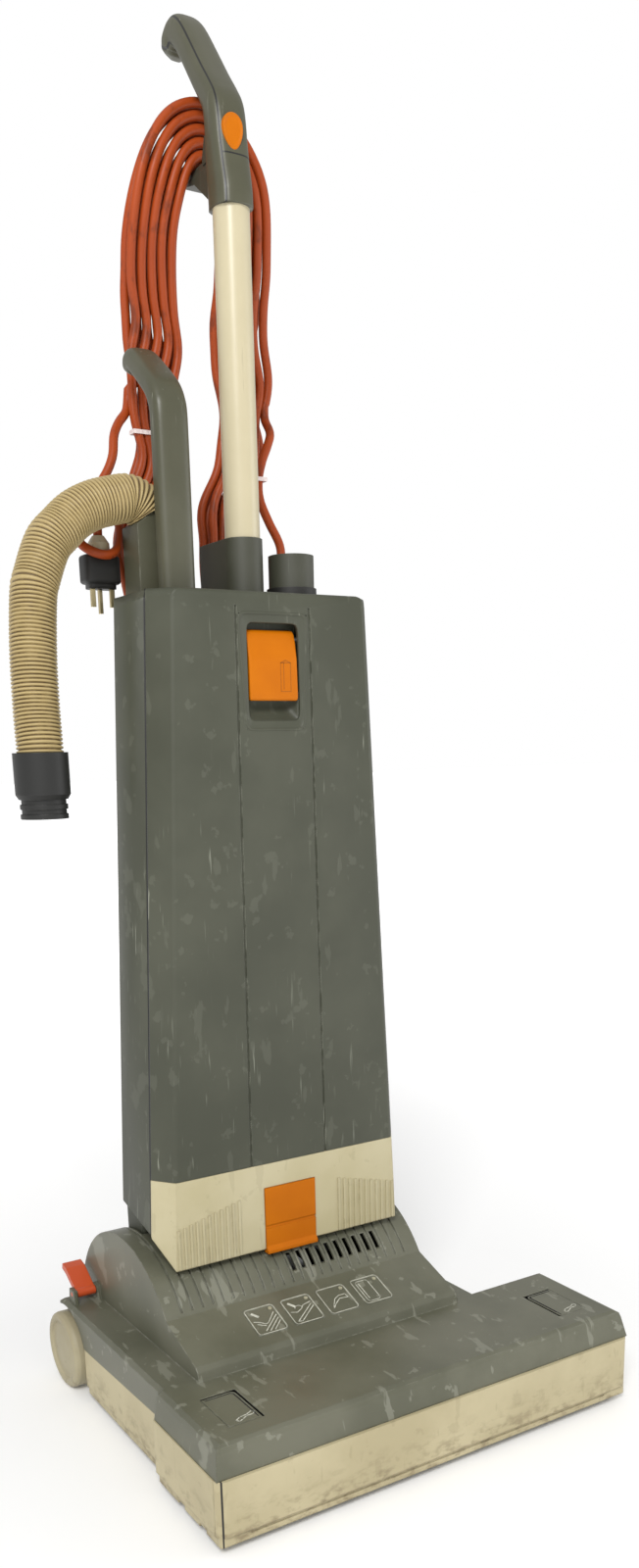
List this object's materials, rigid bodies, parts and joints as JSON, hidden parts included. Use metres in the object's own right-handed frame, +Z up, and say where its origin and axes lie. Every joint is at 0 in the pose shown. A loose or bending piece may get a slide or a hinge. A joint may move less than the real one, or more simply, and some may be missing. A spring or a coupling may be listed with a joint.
{
  "type": "upright vacuum cleaner",
  "caption": "Commercial upright vacuum cleaner: wide belt-driven brush head on wheels, tilting bag body with front covers, handle tube with wound cord, lift-out wand and hose.",
  "frame": {"origin": "on the floor, below the middle of the floor head and halfway between its front bumper and the back of its tray", "axes": "+X to the right seen from the front, -Y towards the front bumper, +Z up; body upright"},
  "size_m": [0.486, 0.387, 1.2288],
  "materials": {
    "grey_plastic": "fine moulded texture, lightly worn",
    "cream_plastic": "moulded, yellowed and scuffed",
    "ivory_plastic": "smooth, scuffed",
    "orange_plastic": "smooth moulding",
    "red_plastic": "smooth moulding",
    "black_plastic": "fine moulded texture",
    "steel": "turned and zinc plated",
    "black_rubber": "matt rubber",
    "hose_plastic": "ribbed flexible hose",
    "cord_pvc": "flexible orange-red sheath",
    "white_fibre": "nylon tufts and filter fleece",
    "card": "grey card",
    "brass_pins": "plated pins"
  },
  "bodies": {
    "base": {"base_tray": "grey_plastic", "sole_plate": "black_plastic", "front_bumper": "cream_plastic", "left_bumper": "cream_plastic", "right_bumper": "cream_plastic", "head_cover": "grey_plastic", "indicator_lenses": "red_plastic", "brush_bearing_left": "grey_plastic", "brush_bearing_right": "grey_plastic", "drive_belt": "black_rubber", "motor_can": "steel", "suction_duct": "black_plastic", "pivot_pin": "steel", "wheel_axle": "steel"},
    "brush": {"brush_core": "black_plastic", "brush_tufts": "white_fibre", "brush_pulley": "steel"},
    "rotor": {"motor_shaft": "steel", "motor_pulley": "steel", "motor_fan": "black_plastic"},
    "left_flap": {"release_flap_left": "grey_plastic"},
    "right_flap": {"release_flap_right": "grey_plastic"},
    "left_wheel": {"wheel_left": "cream_plastic"},
    "right_wheel": {"wheel_right": "cream_plastic"},
    "left_roller": {"front_roller_left": "black_plastic"},
    "right_roller": {"front_roller_right": "black_plastic"},
    "pedal": {"foot_pedal": "red_plastic"},
    "body": {"rear_shell": "grey_plastic", "filter_bag": "white_fibre", "bag_collar": "card", "intake_pipe": "black_plastic", "motor_filter": "black_plastic", "exhaust_filter": "white_fibre", "tube_socket": "grey_plastic", "handle_tube": "ivory_plastic", "grip_left": "grey_plastic", "grip_right": "grey_plastic", "upper_cord_hook": "grey_plastic", "lower_cord_hook": "grey_plastic", "hose_port": "grey_plastic", "accessory_socket": "grey_plastic", "socket_ring": "black_plastic", "cord_gland": "black_rubber", "hose": "hose_plastic", "hose_cuff": "black_plastic", "cord_lead": "cord_pvc", "cord_winding": "cord_pvc", "cord_tail": "cord_pvc", "cord_ties": "white_fibre", "plug_body": "black_plastic", "plug_pins": "brass_pins"},
    "door": {"front_cover": "grey_plastic", "latch_pin": "steel"},
    "latch": {"cover_latch": "orange_plastic"},
    "filter_door": {"filter_cover": "cream_plastic"},
    "clip": {"filter_clip": "orange_plastic"},
    "switch": {"grip_button": "orange_plastic"},
    "wand": {"wand_handle": "grey_plastic"}
  },
  "joints": [
    {"name": "body_tilt", "type": "hinge", "parent": "base", "child": "body", "pos_m": [-0.037, 0.0965, 0.085], "axis": [-1, 0, 0], "range_deg": [0, 80]},
    {"name": "brush_spin", "type": "hinge", "parent": "base", "child": "brush", "pos_m": [0, -0.1315, 0.037], "axis": [1, 0, 0], "continuous": true},
    {"name": "motor_spin", "type": "hinge", "parent": "base", "child": "rotor", "pos_m": [-0.037, 0.0865, 0.061], "axis": [1, 0, 0], "continuous": true},
    {"name": "left_wheel_roll", "type": "hinge", "parent": "base", "child": "left_wheel", "pos_m": [-0.214, 0.1525, 0.039], "axis": [1, 0, 0], "continuous": true},
    {"name": "right_wheel_roll", "type": "hinge", "parent": "base", "child": "right_wheel", "pos_m": [0.126, 0.1525, 0.039], "axis": [1, 0, 0], "continuous": true},
    {"name": "left_roller_roll", "type": "hinge", "parent": "base", "child": "left_roller", "pos_m": [-0.108, -0.092, 0.0085], "axis": [1, 0, 0], "continuous": true},
    {"name": "right_roller_roll", "type": "hinge", "parent": "base", "child": "right_roller", "pos_m": [0.108, -0.092, 0.0085], "axis": [1, 0, 0], "continuous": true},
    {"name": "left_flap_press", "type": "slide", "parent": "base", "child": "left_flap", "axis": [0, 0, -1], "range_m": [0, 0.004], "stiffness_N_per_m": 800, "springref_m": -0.004},
    {"name": "right_flap_press", "type": "slide", "parent": "base", "child": "right_flap", "axis": [0, 0, -1], "range_m": [0, 0.004], "stiffness_N_per_m": 800, "springref_m": -0.004},
    {"name": "pedal_press", "type": "hinge", "parent": "base", "child": "pedal", "pos_m": [-0.198, 0.1475, 0.099], "axis": [-1, 0, 0], "range_deg": [0, 10], "stiffness_Nm_per_rad": 0.8, "springref_deg": -17.19},
    {"name": "front_cover_hinge", "type": "hinge", "parent": "body", "child": "door", "pos_m": [-0.037, 0.0035, 0.248], "axis": [1, 0, 0], "range_deg": [0, 60]},
    {"name": "latch_pull", "type": "hinge", "parent": "door", "child": "latch", "pos_m": [-0.037, 0.0105, 0.722], "axis": [-1, 0, 0], "range_deg": [0, 25], "stiffness_Nm_per_rad": 0.5, "springref_deg": -17.19},
    {"name": "filter_cover_slide", "type": "slide", "parent": "body", "child": "filter_door", "axis": [0, -1, 0], "range_m": [0, 0.08]},
    {"name": "clip_pull", "type": "hinge", "parent": "filter_door", "child": "clip", "pos_m": [-0.037, 0.0025, 0.224], "axis": [-1, 0, 0], "range_deg": [0, 20], "stiffness_Nm_per_rad": 0.5, "springref_deg": -17.19},
    {"name": "switch_press", "type": "slide", "parent": "body", "child": "switch", "axis": [0, 1, 0], "range_m": [0, 0.0025], "stiffness_N_per_m": 900, "springref_m": -0.003},
    {"name": "wand_lift", "type": "slide", "parent": "body", "child": "wand", "axis": [0, 0, 1], "range_m": [0, 0.045]}
  ],
  "couplings": [
    {"joint": "motor_spin", "follows": "brush_spin", "ratio": 1.4667}
  ]
}
